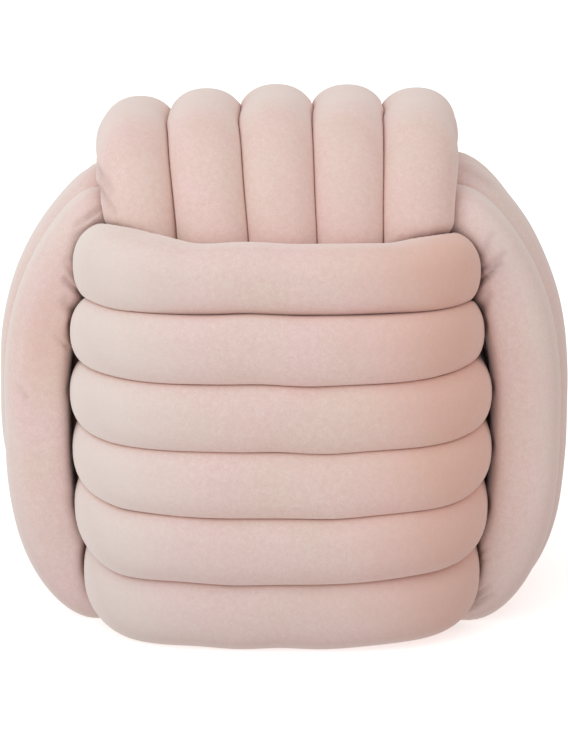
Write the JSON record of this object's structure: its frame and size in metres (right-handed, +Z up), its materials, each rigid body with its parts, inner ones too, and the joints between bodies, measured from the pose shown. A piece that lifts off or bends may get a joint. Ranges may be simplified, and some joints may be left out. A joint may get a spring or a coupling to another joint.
{
  "type": "knotted velvet pouf",
  "caption": "Round-cornered pouf knotted from stuffed velvet tubes: level rows on the front and back, tubes running back over the top, and upright tubes down the sides.",
  "frame": {"origin": "centre of the pouf's footprint, on the floor that it stands on", "axes": "+Z up, -Y towards the front with the level rows, +X to the right as seen from the front"},
  "size_m": [0.4758, 0.4188, 0.4254],
  "materials": {
    "velvet": "matt blush pink velvet with a short pile"
  },
  "bodies": {
    "root": {"level_loop_1": "velvet", "level_loop_2": "velvet", "level_loop_3": "velvet", "level_loop_4": "velvet", "level_loop_5": "velvet", "level_loop_6": "velvet", "length_loop_1": "velvet", "length_loop_2": "velvet", "length_loop_3": "velvet", "length_loop_4": "velvet", "length_loop_5": "velvet", "cross_loop_1": "velvet", "cross_loop_2": "velvet", "cross_loop_3": "velvet", "cross_loop_4": "velvet"}
  },
  "joints": []
}
